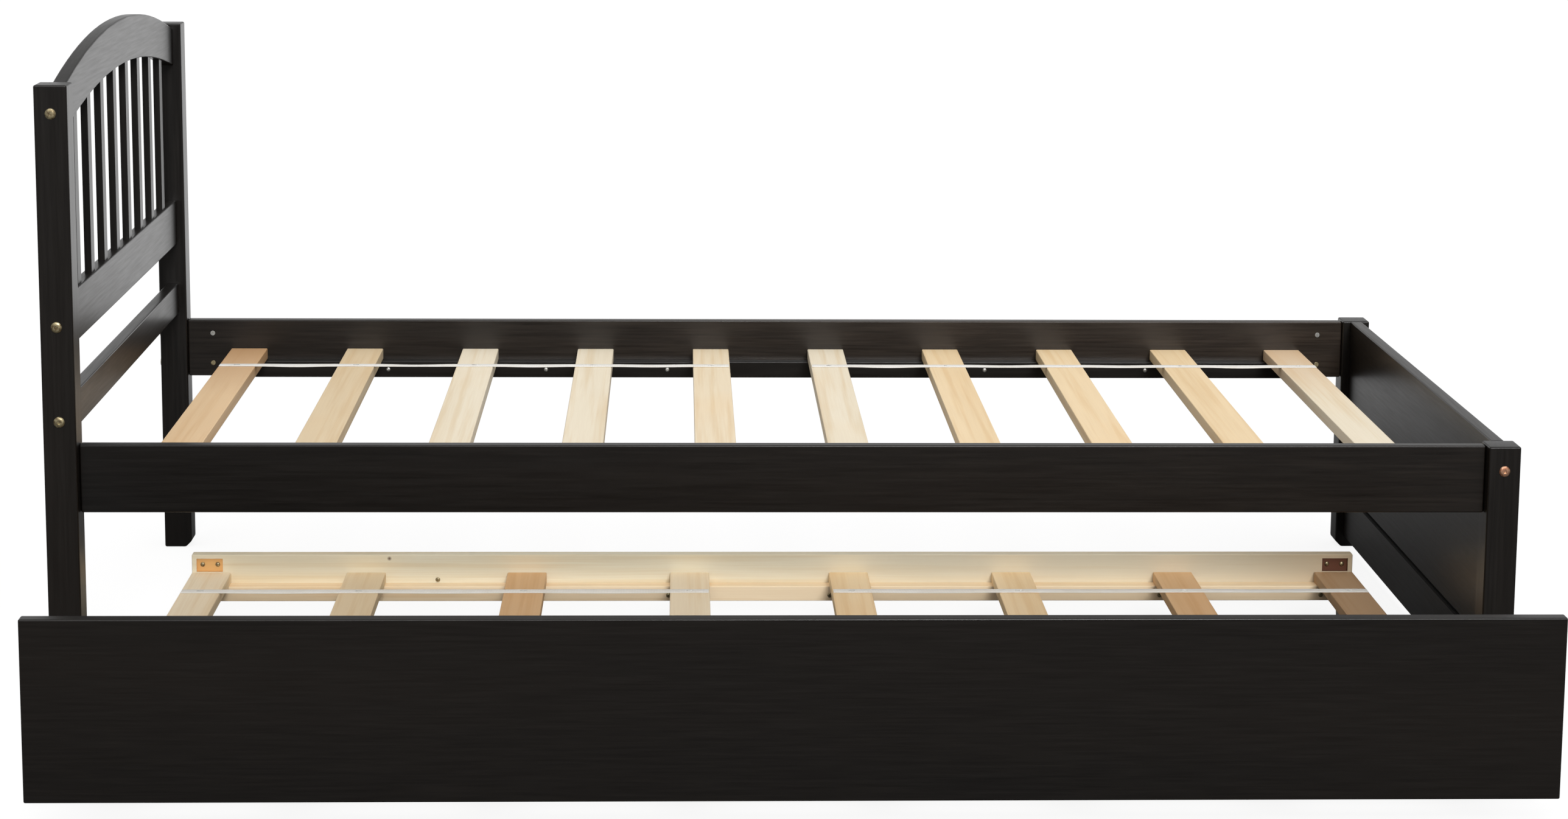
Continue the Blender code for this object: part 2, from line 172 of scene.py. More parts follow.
class Nodes:
    """A node tree, with short calls to add and join nodes."""

    def __init__(self, tree):
        self.tree = tree

    def add(self, kind, inputs=None, **settings):
        made = self.tree.nodes.new("ShaderNode" + kind)
        for key, value in settings.items():
            setattr(made, key, value)
        for key, value in (inputs or {}).items():
            if isinstance(value, bpy.types.NodeSocket):
                self.tree.links.new(value, made.inputs[key])
            else:
                made.inputs[key].default_value = value
        return made

    def spread(self, value, low, high, to_low, to_high):
        """Maps low..high of a value to to_low..to_high."""
        inputs = {"Value": value, "From Min": low, "From Max": high, "To Min": to_low, "To Max": to_high}
        return self.add("MapRange", inputs).outputs["Result"]

    def math(self, operation, a, b):
        return self.add("Math", {0: a, 1: b}, operation=operation).outputs["Value"]


class Shader(Nodes):
    """A material, with short calls for what the finishes share."""

    def __init__(self, name, **values):
        self.material = bpy.data.materials.new(name)
        self.material.use_nodes = True
        super().__init__(self.material.node_tree)
        self.surface = self.tree.nodes["Principled BSDF"]
        for socket, value in values.items():
            self.surface.inputs[socket.replace("_", " ")].default_value = value

    def drive(self, socket, value):
        self.tree.links.new(value, self.surface.inputs[socket])

    def place(self, scale, offset=(0.0, 0.0, 0.0)):
        """The part's own coordinates in metres, moved and stretched."""
        here = self.add("TexCoord").outputs["Object"]
        inputs = {"Vector": here, "Location": offset, "Scale": scale}
        return self.add("Mapping", inputs).outputs["Vector"]

    def noise(self, place, scale, detail=4.0, roughness=0.55, distortion=0.0):
        inputs = {
            "Vector": place,
            "Scale": scale,
            "Detail": detail,
            "Roughness": roughness,
            "Distortion": distortion,
        }
        return self.add("TexNoise", inputs).outputs["Fac"]

    def ramp(self, factor, *stops):
        """A colour ramp through (position, colour) stops."""
        made = self.add("ValToRGB", {"Fac": factor})
        elements = made.color_ramp.elements
        while len(elements) < len(stops):
            elements.new(0.5)
        for element, (position, color) in zip(elements, stops):
            element.position = position
            element.color = color
        return made.outputs["Color"]

    def mix(self, factor, a, b, blend="MIX"):
        made = self.add("MixRGB", {"Fac": factor, "Color1": a, "Color2": b}, blend_type=blend)
        return made.outputs["Color"]

    def inside(self, low, high):
        """1 in a box of the part's own coordinates, 0 outside it."""
        here = self.add("TexCoord").outputs["Object"]
        parts = self.add("SeparateXYZ", {"Vector": here}).outputs
        mask = 1.0
        for letter, start, end in zip("XYZ", low, high):
            inputs = {0: parts[letter], 1: (start + end) / 2, 2: (end - start) / 2}
            near = self.add("Math", inputs, operation="COMPARE").outputs["Value"]
            mask = self.math("MULTIPLY", near, mask)
        return mask

    def bump(self, height, distance, strength, under=None):
        inputs = {"Height": height, "Distance": distance, "Strength": strength}
        if under:
            inputs["Normal"] = under
        return self.add("Bump", inputs).outputs["Normal"]


def along(axis, stretch):
    """Scale that draws a pattern out along one axis: grain runs that way."""
    return tuple(stretch if letter == axis else 1.0 for letter in "XYZ")


ESPRESSO_TINTS = ((0.0024, 0.0016, 0.0011), (0.0056, 0.0040, 0.0028), (0.0104, 0.0070, 0.0046))  # linear


def espresso(axis, seed, light=1.0, foot_reflection_gain=1.0, groove_shade_box=None):
    """Near-black stained wood under satin lacquer, with grain along the axis.

    The light factor makes a lighter or darker copy of the tints: painted light and shade for parts that catch
    more or less light. The foot factor, above 1, paints a reflection: the colour grows lighter toward the
    foot end until it is so many times lighter.
    A groove box, given as (low corner, high corner), is painted black and fully rough: painted shade in the
    dark gap between two parts.
    """
    shader = Shader(f"espresso_wood_{axis.lower()}_{seed}", IOR=1.40, Roughness=0.3)
    fine = shader.place(along(axis, 0.035), (seed * 1.37, seed * 0.71, seed * 0.29))
    broad = shader.place(along(axis, 0.12), (seed * 0.53, seed * 1.91, seed * 0.83))
    streaks = shader.noise(fine, 260.0, 6.0, 0.62)
    figure = shader.noise(broad, 34.0, 3.0, 0.5, 1.6)
    patches = shader.noise(broad, 3.2, 2.0, 0.5)
    # painted light and shade: the light factor scales the tints into a lighter or darker copy of the same
    # finish
    dark, brown, ruddy = (tuple(light * v for v in tint) + (1.0,) for tint in ESPRESSO_TINTS)
    stain = shader.ramp(streaks, (0.30, dark), (0.72, brown))
    veins = shader.ramp(figure, (0.46, (0.55, 0.55, 0.55, 1.0)), (0.56, WHITE))
    stain = shader.mix(0.4, stain, veins, "MULTIPLY")
    stain = shader.mix(shader.spread(patches, 0.45, 0.75, 0.0, 0.55), stain, ruddy)
    # painted reflection: the colour grows lighter along the bed toward the foot end
    if foot_reflection_gain > 1.0:
        here = shader.add("TexCoord").outputs["Object"]
        along_bed = shader.add("SeparateXYZ", {"Vector": here}).outputs["X"]
        level = shader.spread(along_bed, CAD_BOX[0].x, CAD_BOX[1].x, 1.0, foot_reflection_gain)
        stain = shader.add("VectorMath", {0: stain, "Scale": level}, operation="SCALE").outputs["Vector"]
    rough = shader.spread(streaks, 0.25, 0.75, 0.27, 0.36)
    if groove_shade_box:
        # painted shade: black and fully rough inside the groove box, where the gap lies in shadow
        mask = shader.inside(*groove_shade_box)
        stain = shader.mix(mask, stain, BLACK)
        rough = shader.add("Mix", {0: mask, 2: rough, 3: 1.0}, data_type="FLOAT").outputs[0]
    shader.drive("Base Color", stain)
    shader.drive("Roughness", rough)
    lacquer = shader.bump(figure, 0.0006, 0.05)
    shader.drive("Normal", shader.bump(streaks, 0.0002, 0.07, lacquer))
    return shader.material


def pine(name, tone, axis, seed, marks=(), hollows=()):
    """Bare planed pine: straight pale grain along the axis and a few soft warm patches.

    marks are round spots, a knot or a painted patch of light or shade, given as (point, radius, soft edge,
    colour, strength).
    hollows are routed places whose inside takes another colour, which can carry painted shade, given as (low
    corner, high corner, colour).
    """
    shader = Shader(f"pine_{name}_{axis.lower()}", IOR=1.38, Roughness=0.5)
    offset = (seed * 0.61, seed * 1.13, seed * 0.37)
    fibres = shader.noise(shader.place(along(axis, 0.02), offset), 420.0, 5.0, 0.6)
    grain = shader.noise(shader.place(along(axis, 0.022), offset), 95.0, 3.0, 0.55)
    patches = shader.noise(shader.place(along(axis, 0.3), offset), 7.0, 3.0, 0.5)
    boards = shader.noise(shader.place(along(axis, 0.05), offset), 12.0, 1.0, 0.4)
    late = (0.91, 0.84, 0.74, 1.0)
    warm = (1.0, 0.91, 0.80, 1.0)
    lines = shader.ramp(grain, (0.34, late), (0.52, WHITE))
    color = shader.mix(0.75, srgb(*tone), lines, "MULTIPLY")
    warmth = shader.mix(shader.spread(patches, 0.50, 0.74, 0.0, 0.6), WHITE, warm)
    color = shader.mix(1.0, color, warmth, "MULTIPLY")
    shade = shader.ramp(boards, (0.30, (0.94, 0.92, 0.88, 1.0)), (0.62, WHITE))
    color = shader.mix(0.9, color, shade, "MULTIPLY")
    threads = shader.ramp(fibres, (0.25, (0.94, 0.91, 0.87, 1.0)), (0.65, WHITE))
    color = shader.mix(0.7, color, threads, "MULTIPLY")
    # knots, and painted patches of shade and light
    for point, radius, edge, tint, strength in marks:
        here = shader.add("TexCoord").outputs["Object"]
        away = shader.add("VectorMath", {0: here, 1: point}, operation="DISTANCE").outputs["Value"]
        spot = shader.spread(away, radius, radius + edge, strength, 0.0)
        color = shader.mix(spot, color, srgb(*tint))
    for low, high, tint in hollows:
        inner = shader.mix(0.6, srgb(*tint), threads, "MULTIPLY")
        color = shader.mix(shader.inside(low, high), color, inner)
    shader.drive("Base Color", color)
    shader.drive("Roughness", shader.spread(fibres, 0.2, 0.8, 0.42, 0.6))
    shader.drive("Normal", shader.bump(fibres, 0.0002, 0.25, shader.bump(grain, 0.0003, 0.08)))
    return shader.material


def webbing():
    """White woven tape: a fine rib each way, slightly uneven."""
    shader = Shader("woven_webbing", IOR=1.4, Roughness=0.85, Sheen_Weight=0.25, Sheen_Roughness=0.5)
    here = shader.place((1.0, 1.0, 1.0))
    ribs = {"Vector": here, "Scale": 210.0, "Distortion": 0.3, "Detail": 1.0}
    warp = shader.add("TexWave", ribs, wave_type="BANDS", bands_direction="X").outputs["Fac"]
    weft = shader.add("TexWave", ribs, wave_type="BANDS", bands_direction="Y").outputs["Fac"]
    weave = shader.math("MULTIPLY", warp, weft)
    soiling = shader.noise(here, 30.0, 3.0)
    color = shader.ramp(weave, (0.0, srgb(226, 223, 216)), (0.6, srgb(252, 251, 248)))
    cast = shader.ramp(soiling, (0.35, srgb(246, 242, 234)), (0.65, WHITE))
    shader.drive("Base Color", shader.mix(0.6, color, cast, "MULTIPLY"))
    shader.drive("Normal", shader.bump(weave, 0.0003, 0.6))
    return shader.material


METALS = {  # colour, tarnished colour, roughness
    "aged_brass": ((188, 176, 140), (104, 88, 66), 0.36),
    "copper_wash": ((222, 176, 146), (152, 104, 80), 0.34),
    "bright_zinc": ((205, 205, 202), (150, 148, 142), 0.34),
}


def metal(name, tone, tarnish, rough):
    """Plated metal with a duller, uneven film."""
    shader = Shader(name, Metallic=1.0, Roughness=rough)
    here = shader.place((1.0, 1.0, 1.0))
    film = shader.noise(here, 260.0, 4.0, 0.6)
    scratches = shader.noise(shader.place((1.0, 0.1, 1.0)), 2200.0, 2.0)
    shader.drive("Base Color", shader.ramp(film, (0.35, srgb(*tarnish)), (0.62, srgb(*tone))))
    shader.drive("Roughness", shader.spread(film, 0.3, 0.7, rough + 0.16, rough - 0.06))
    shader.drive("Normal", shader.bump(scratches, 0.00005, 0.3))
    return shader.material


def nylon():
    """Moulded black nylon, a little scuffed."""
    shader = Shader("moulded_nylon", IOR=1.45, Roughness=0.45)
    here = shader.place((1.0, 1.0, 1.0))
    scuffs = shader.noise(here, 140.0, 5.0, 0.65)
    grain = shader.noise(here, 1500.0, 2.0)
    shader.drive("Base Color", shader.ramp(scuffs, (0.4, srgb(34, 34, 36)), (0.72, srgb(62, 61, 60))))
    shader.drive("Roughness", shader.spread(scuffs, 0.3, 0.7, 0.38, 0.58))
    shader.drive("Normal", shader.bump(grain, 0.0001, 0.2))
    return shader.material


# ---------------------------------------------------------------- finishes of the CAD nodes


def middle(node, axis):
    low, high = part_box(node)
    index = "XYZ".index(axis)
    return (low[index] + high[index]) / 2


def soften_edges(node):
    """Smooth shading over the rounded edges, with flat faces kept flat."""
    mesh = node.data
    if "custom_normal" in mesh.attributes:
        mesh.attributes.remove(mesh.attributes["custom_normal"])
    mesh.polygons.foreach_set("use_smooth", [True] * len(mesh.polygons))
    weld = node.modifiers.new("weld", "WELD")
    weld.merge_threshold = WELD_REACH
    split = node.modifiers.new("sharp edges", "EDGE_SPLIT")
    split.split_angle = radians(SHARP_ANGLE)
    split.use_edge_sharp = False
    weighted = node.modifiers.new("weighted normals", "WEIGHTED_NORMAL")
    weighted.weight = FLAT_FACE_WEIGHT
    weighted.keep_sharp = True


def paint(nodes, material):
    for name in nodes:
        node = NODES[name]
        node.data.materials.clear()
        node.data.materials.append(material)
        soften_edges(node)


def numbered(prefix, numbers, digits=1):
    return [f"{prefix}_{number:0{digits}d}" for number in numbers]


def sides(prefix):
    return [f"{prefix}_front", f"{prefix}_rear"]


def corners(prefix):
    return [f"{prefix}_{end}_{side}" for end in ("head", "foot") for side in ("front", "rear")]


def finish_dark_wood():
    posts = [f"{end}_post_{side}" for end in ("head", "foot") for side in ("front", "rear")]
    paint(posts, espresso("Z", 1))
    paint(numbered("headboard_spindle", range(1, 9)), espresso("Z", 2))
    paint(["headboard_arch_rail", "headboard_mid_rail", "headboard_lower_rail"], espresso("Y", 3))
    # painted light: the footboard's panel and lower rail are a lighter copy of the finish, for the light they
    # catch
    paint(["footboard_panel"], espresso("Y", 4, light=1.5))
    low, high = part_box("footboard_lower_rail")
    margin = Vector((FIT, FIT, FIT))
    # painted shade in the gap between the panel and the lower rail: the rail's top edge is painted black
    groove = (Vector((low.x, low.y, high.z - GROOVE_LIP)) - margin, high + margin)
    paint(["footboard_lower_rail"], espresso("Y", 4, light=1.5, groove_shade_box=groove))
    # painted light and shade: the front rail is a darker copy of the finish and the rear rail a lighter one,
    # and both grow lighter toward the foot end as a painted reflection
    paint(["side_rail_front"], espresso("X", 5, light=0.6, foot_reflection_gain=4.0))
    paint(["side_rail_rear"], espresso("X", 8, light=2.2, foot_reflection_gain=3.0))
    paint(sides("slat_ledger"), espresso("X", 6))
    paint(["trundle_front_panel"], espresso("X", 7))


PINE_TONES = {
    "cream": (250, 238, 214),
    "blond": (251, 234, 204),
    "amber": (252, 226, 184),
    "straw": (240, 218, 182),
    "honey": (246, 212, 168),
    "toffee": (230, 190, 143),
    # brown is painted shade: the tone of the deck slat beside the footboard, darkened for the footboard's
    # shadow
    "brown": (188, 154, 118),
    "ledger": (252, 230, 196),
    "board": (238, 231, 208),
}
BED_SLAT_TONES = {
    "honey": (1,),
    "straw": (2,),
    "cream": (3, 4, 6, 10),
    "blond": (5,),
    "amber": (7, 8, 9),
}
REAR_END_SHADES = {  # painted shade: a slat of that tone that turns darker and browner toward the rear rail, and the colour
    "honey": ("bed_slat_01", (196, 148, 102)),
    "cream": ("bed_slat_10", (222, 184, 142)),
}
DECK_SLAT_TONES = {
    "blond": (1, 4),
    "straw": (2,),
    "amber": (5, 6),
    "toffee": (3, 7),
    # painted shade: slat 8 takes the brown tone for the footboard's shadow over it
    "brown": (8,),
}
REAR_END_REACH = (0.05, 0.36)  # full strength, and then how far it fades
REAR_END_STRENGTH = 0.7
KNOT_TINT = (96, 62, 36)
KNOT_PLACE = -0.594
KNOT_DROP = 0.006  # below the rear board's top
FOOT_SHADE_TINT = (194, 172, 142)
LOW_BOUNCE_LIGHT_TINT = (224, 214, 192)
LOW_BOUNCE_LIGHT_PLACE = 0.35
POCKET_SKIN = 0.0004  # keeps a pocket's colour off the board's own face
# inside colour of the routed pocket at each end: the routed wood's own at the head, and at the foot a much
# darker brown that is painted shade
POCKET_TINTS_AND_SHADE = {-1: (236, 188, 122), 1: (104, 62, 42)}


def pocket(end):
    """Low and high corner of the routed pocket at the head (-1) or foot (1) end of the rear board."""
    board_low, board_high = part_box("trundle_rear_board")
    width, depth, height = POCKET_SIZE
    x = end * (board_high.x - POCKET_MIDDLE_FROM_END)
    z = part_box("trundle_slat_1")[1].z + POCKET_RISE
    return Vector((x - width / 2, board_low.y, z)), Vector((x + width / 2, board_low.y + depth, z + height))


def finish_rear_board():
    low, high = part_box("trundle_rear_board")
    marks = [
        ((KNOT_PLACE, low.y, high.z - KNOT_DROP), 0.001, 0.0028, KNOT_TINT, 0.85),
        # painted shade: the board turns darker toward its top at the foot end, for the footboard's shadow
        ((high.x, low.y, high.z), 0.04, 0.34, FOOT_SHADE_TINT, 0.75),
        # painted light: a plainer, greyer patch along the board's bottom, for light reflected up from the
        # floor
        ((LOW_BOUNCE_LIGHT_PLACE, low.y, low.z), 0.05, 0.45, LOW_BOUNCE_LIGHT_TINT, 0.6),
    ]
    hollows = []
    margin = Vector((FIT / 2, 0.0, FIT / 2))
    skin = Vector((0.0, POCKET_SKIN, 0.0))
    # painted shade in the foot end's pocket
    for end, tint in POCKET_TINTS_AND_SHADE.items():
        corner, far = pocket(end)
        hollows.append((corner - margin + skin, far + margin + skin, tint))
    paint(["trundle_rear_board"], pine("board", PINE_TONES["board"], "X", 11, marks, hollows))


def finish_pine():
    slats = {tone: numbered("bed_slat", numbers, 2) for tone, numbers in BED_SLAT_TONES.items()}
    for tone, numbers in DECK_SLAT_TONES.items():
        slats.setdefault(tone, []).extend(numbered("trundle_slat", numbers))
    for seed, (tone, names) in enumerate(slats.items()):
        marks = []
        # painted shade on some slats toward the rear rail
        if tone in REAR_END_SHADES:
            slat, tint = REAR_END_SHADES[tone]
            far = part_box(slat)[1]
            marks = [((middle(slat, "X"), far.y, far.z), *REAR_END_REACH, tint, REAR_END_STRENGTH)]
        paint(names, pine(tone, PINE_TONES[tone], "Y", seed + 1, marks))
    paint(sides("trundle_ledger"), pine("ledger", PINE_TONES["ledger"], "X", 12))
    finish_rear_board()


# ---------------------------------------------------------------- fasteners


def lathe(profile, steps):
    """A solid turned about Z from (radius, height) points that start and end on the axis."""
    form = bmesh.new()
    low = form.verts.new((0.0, 0.0, profile[0][1]))
    high = form.verts.new((0.0, 0.0, profile[-1][1]))
    rings = []
    for radius, height in profile[1:-1]:
        ring = []
        for i in range(steps):
            angle = 2 * pi * i / steps
            ring.append(form.verts.new((radius * cos(angle), radius * sin(angle), height)))
        rings.append(ring)
    for i in range(steps):
        j = (i + 1) % steps
        form.faces.new((low, rings[0][j], rings[0][i]))
        form.faces.new((high, rings[-1][i], rings[-1][j]))
        for ring, above in zip(rings, rings[1:]):
            form.faces.new((ring[i], ring[j], above[j], above[i]))
    return form


def extrude(outline, low, high):
    """A straight-sided solid on an outline of (x, y) points, for cutting a recess."""
    form = bmesh.new()
    rings = [[form.verts.new((x, y, z)) for x, y in outline] for z in (low, high)]
    form.faces.new(rings[0][::-1])
    form.faces.new(rings[1])
    for i in range(len(outline)):
        j = (i + 1) % len(outline)
        form.faces.new((rings[0][i], rings[0][j], rings[1][j], rings[1][i]))
    return form


def hexagon(radius):
    return [(radius * cos(pi * i / 3), radius * sin(pi * i / 3)) for i in range(6)]


def slot(length, width):
    a, b = length / 2, width / 2
    return [(-a, -b), (a, -b), (a, b), (-a, b)]


def cross(length, width):
    a, b = length / 2, width / 2
    arm = [(a, -b), (a, b), (b, b)]
    turned = []
    for _ in range(4):
        turned += arm
        arm = [(-y, x) for x, y in arm]
    return turned


def as_object(name, form):
    mesh = bpy.data.meshes.new(name)
    bmesh.ops.recalc_face_normals(form, faces=form.faces)
    form.to_mesh(mesh)
    form.free()
    made = bpy.data.objects.new(name, mesh)
    bpy.context.scene.collection.objects.link(made)
    return made


def recessed(name, head, recess):
    """A fastener's head with its recess cut out, as a mesh to copy."""
    body = as_object(name, head)
    cutter = as_object(name + "_cutter", recess)
    boolean = body.modifiers.new("recess", "BOOLEAN")
    boolean.operation = "DIFFERENCE"
    boolean.object = cutter
    graph = bpy.context.evaluated_depsgraph_get()
    mesh = bpy.data.meshes.new_from_object(body.evaluated_get(graph))
    bpy.data.objects.remove(body)
    bpy.data.objects.remove(cutter)
    return mesh


def turned_head(profile, steps=ROUND_STEPS):
    """A fastener's head from its half section in millimetres."""
    return lathe([(radius * MM, height * MM) for radius, height in profile], steps)


def bolt_mesh():
    radius, bottom, top = (size * MM for size in BOLT_SOCKET)
    return recessed("bolt", turned_head(BOLT_PROFILE), extrude(hexagon(radius), bottom, top))


def nut_mesh():
    length, width, bottom, top = (size * MM for size in NUT_SLOT)
    return recessed("nut", turned_head(NUT_PROFILE), extrude(slot(length, width), bottom, top))


def screw_mesh():
    length, width, bottom, top = (size * MM for size in SCREW_CROSS)
    head = turned_head(SCREW_PROFILE, SCREW_STEPS)
    return recessed("screw", head, extrude(cross(length, width), bottom, top))


def tube(form, rings):
    """Joins closed rings of vertices into one solid, with a cap at each end."""
    size = len(rings[0])
    for ring, after in zip(rings, rings[1:]):
        for i in range(size):
            j = (i + 1) % size
            form.faces.new((ring[i], ring[j], after[j], after[i]))
    form.faces.new(rings[0][::-1])
    form.faces.new(rings[-1])


def staple_mesh():
    """The crown of a wire staple, with its ends turned down into the wood."""
    form = bmesh.new()
    wire = STAPLE_WIRE * MM
    rings = []
    for x, z, lean in STAPLE_PATH:
        ring = []
        for i in range(WIRE_STEPS):
            angle = 2 * pi * i / WIRE_STEPS
            out = wire * cos(angle)
            point = (x * MM + (1 - lean) * out, wire * sin(angle), z * MM + lean * out)
            ring.append(form.verts.new(point))
        rings.append(ring)
    tube(form, rings)
    mesh = bpy.data.meshes.new("staple")
    bmesh.ops.recalc_face_normals(form, faces=form.faces)
    form.to_mesh(mesh)
    form.free()
    return mesh


def facing(point, outward, spin=0.0):
    """A place on a face: local Z points outward, turned by spin degrees."""
    turn = Vector(outward).to_track_quat("Z", "Y").to_matrix().to_4x4()
    return Matrix.Translation(point) @ turn @ Matrix.Rotation(radians(spin), 4, "Z")


def head_turn(start_and_step, index):
    start, step = start_and_step
    return start + step * index


def dress(made, material, sharp_angle):
    """Smooth shading up to the sharp angle, and the material."""
    made.data.shade_smooth()
    made.data.set_sharp_from_angle(angle=radians(sharp_angle))
    made.data.materials.append(material)


def group(name, mesh, places, body, material):
    """One piece made of a copy of a fastener at each place."""
    form = bmesh.new()
    for place in places:
        start = len(form.verts)
        form.from_mesh(mesh)
        form.verts.ensure_lookup_table()
        bmesh.ops.transform(form, matrix=place, verts=form.verts[start:])
    made = as_object(name, form)
    dress(made, material, FASTENER_SHARP_ANGLE)
    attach(made, body)


def board_bolts(bolt, metals):
    """Bolts through the posts into the ends of the headboard's and footboard's rails."""
    arch_low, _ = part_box("headboard_arch_rail")
    _, panel_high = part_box("footboard_panel")
    heights = {
        "head": (
            arch_low.z + ARCH_BOLT_RISE,
            middle("headboard_mid_rail", "Z"),
            middle("headboard_lower_rail", "Z") - LOWER_BOLT_DROP,
        ),
        "foot": (panel_high.z - PANEL_BOLT_DROP, middle("footboard_lower_rail", "Z")),
    }
    boards = {"head": "headboard_mid_rail", "foot": "footboard_panel"}
    for end, levels in heights.items():
        places = []
        x = middle(boards[end], "X")
        for side, outward in (("front", -1), ("rear", 1)):
            low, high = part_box(f"{end}_post_{side}")
            y = low.y - FIT if outward < 0 else high.y + FIT
            for index, z in enumerate(levels):
                places.append(facing((x, y, z), (0, outward, 0), head_turn(BOARD_BOLT_SPIN, index)))
        group(f"{end}board_bolts", bolt, places, "bed", metals[end])


def rail_levels(rail):
    low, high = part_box(rail)
    return low.z + RAIL_BOLT_INSETS[0], high.z + RAIL_BOLT_INSETS[1]


def side_rail_bolts(bolt, nut, brass, zinc):
    """Bolts through the posts into the side rails, and the barrel nuts that they turn into."""
    bolts = []
    nuts = ([], [])
    for side, inward in (("front", 1), ("rear", -1)):
        rail = f"side_rail_{side}"
        low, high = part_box(rail)
        face = high.y + FIT if inward > 0 else low.y - FIT
        for end, outward in (("head", -1), ("foot", 1)):
            post_low, post_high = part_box(f"{end}_post_{side}")
            outer = post_high.x + FIT if outward > 0 else post_low.x - FIT
            nut_x = high.x - NUT_FROM_END if outward > 0 else low.x + NUT_FROM_END
            for index, z in enumerate(rail_levels(rail)):
                turn = head_turn(RAIL_BOLT_SPIN, index)
                bolts.append(facing((outer, middle(rail, "Y"), z), (outward, 0, 0), turn))
                nuts[index].append(facing((nut_x, face, z), (0, inward, 0), head_turn(NUT_SPIN, index)))
    group("side_rail_bolts", bolt, bolts, "bed", brass)
    group("lower_barrel_nuts", nut, nuts[0], "bed", brass)
    group("upper_barrel_nuts", nut, nuts[1], "bed", zinc)


def screws_on(node, xs, inward, height=0.5):
    """Places along a ledger's inner face. height is the share of the ledger's own height."""
    low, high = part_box(node)
    face = high.y + FIT if inward > 0 else low.y - FIT
    z = low.z + height * (high.z - low.z)
    return [facing((x, face, z), (0, inward, 0), LEDGER_SCREW_SPIN * i) for i, x in enumerate(xs)]


def ledger_screws(screw, zinc, brass):
    places = screws_on("slat_ledger_rear", LEDGER_SCREW_PLACES, -1)
    places += screws_on("slat_ledger_front", LEDGER_SCREW_PLACES, 1)
    group("bed_ledger_screws", screw, places, "bed", zinc)
    places = screws_on("trundle_ledger_rear", DECK_SCREW_PLACES, -1, DECK_SCREW_HEIGHT)
    places += screws_on("trundle_ledger_front", DECK_SCREW_PLACES, 1, DECK_SCREW_HEIGHT)
    low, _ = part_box("trundle_rear_board")
    ledger_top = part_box("trundle_ledger_rear")[1].z
    point = (BOARD_SCREW_PLACE, low.y - FIT, ledger_top + BOARD_SCREW_RISE)
    places.append(facing(point, (0, -1, 0), BOARD_SCREW_SPIN))
    group("trundle_ledger_screws", screw, places, "trundle", brass)


def pocket_screws(screw, brass):
    """Two screws in each routed pocket of the trundle's rear board."""
    places = []
    for end in (-1, 1):
        low, high = pocket(end)
        for step in (-1, 1):
            x = (low.x + high.x) / 2 + step * POCKET_SCREW_SPREAD
            point = (x, high.y - FIT, (low.z + high.z) / 2)
            places.append(facing(point, (0, -1, 0), POCKET_SCREW_SPIN * step))
    group("pocket_screws", screw, places, "trundle", brass)


def caster_screws(screw, zinc):
    """Four screws through each caster's plate into the slat above it."""
    places = []
    for bracket in corners("caster_bracket"):
        low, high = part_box(bracket)
        plate_under = high.z - CASTER_PLATE - FIT
        for x in (low.x + CASTER_SCREW_INSET, high.x - CASTER_SCREW_INSET):
            for y in (low.y + CASTER_SCREW_INSET, high.y - CASTER_SCREW_INSET):
                places.append(facing((x, y, plate_under), (0, 0, -1), CASTER_SCREW_SPIN))
    group("caster_screws", screw, places, "trundle", zinc)


# ---------------------------------------------------------------- spline and straps


def footboard_spline(material):
    """The thin spline that joins the footboard's panel to its lower rail and closes the line between them."""
    panel_low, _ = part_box("footboard_panel")
    rail_low, rail_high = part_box("footboard_lower_rail")
    low = Vector((middle("footboard_panel", "X") - SPLINE_THICKNESS / 2, rail_low.y + FIT, rail_high.z + FIT))
    high = Vector((low.x + SPLINE_THICKNESS, rail_high.y - FIT, panel_low.z - FIT))
    outline = [(low.x, low.y), (high.x, low.y), (high.x, high.y), (low.x, high.y)]
    form = extrude(outline, low.z, high.z)
    bmesh.ops.bevel(form, geom=form.edges, offset=SPLINE_ROUND, segments=2, affect="EDGES", profile=0.5)
    made = as_object("footboard_spline", form)
    dress(made, material, SHARP_ANGLE)
    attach(made, "bed")


def strap(name, node, slats, body, sag, material):
    """A webbing strap lying on its slats and sagging a little between them."""
    low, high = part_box(node)
    y = (low.y + high.y) / 2
    spans = [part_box(slat) for slat in slats]
    top = spans[0][1].z + FIT
    count = round((high.x - low.x) / WEBBING_STEP)
    form = bmesh.new()
    half = WEBBING_WIDTH / 2
    flat = half - WEBBING_EDGE
    thick = WEBBING_THICKNESS
    section = [
        (-half, thick * 0.35),
        (-flat, 0.0),
        (flat, 0.0),
        (half, thick * 0.35),
        (half, thick * 0.65),
        (flat, thick),
        (0.0, thick),
        (-flat, thick),
        (-half, thick * 0.65),
    ]
    rings = []
    for i in range(count + 1):
        x = low.x + (high.x - low.x) * i / count
        drop, twist, drift = hang(x, spans, sag)
        ring = []
        for u, v in section:
            ring.append(form.verts.new((x, y + drift + u, top + v - drop + twist * u)))
        rings.append(ring)
    tube(form, rings)
    made = as_object(name, form)
    dress(made, material, SHARP_ANGLE)
    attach(made, body)
    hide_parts(node)
    return y


def hang(x, spans, sag):
    """(drop, twist, sideways drift) of a strap at x: flat on each slat, slack between two."""
    for (_, left), (right, _) in zip(spans, spans[1:]):
        if left.x < x < right.x:
            share = (x - left.x) / (right.x - left.x)
            wave = sin(pi * share) ** 2
            lean = sin(WEBBING_LEAN[0] * left.x + WEBBING_LEAN[1])
            return sag * wave * (0.75 + 0.25 * lean), WEBBING_TWIST * lean * wave, WEBBING_DRIFT * lean * wave
    return 0.0, 0.0, 0.0


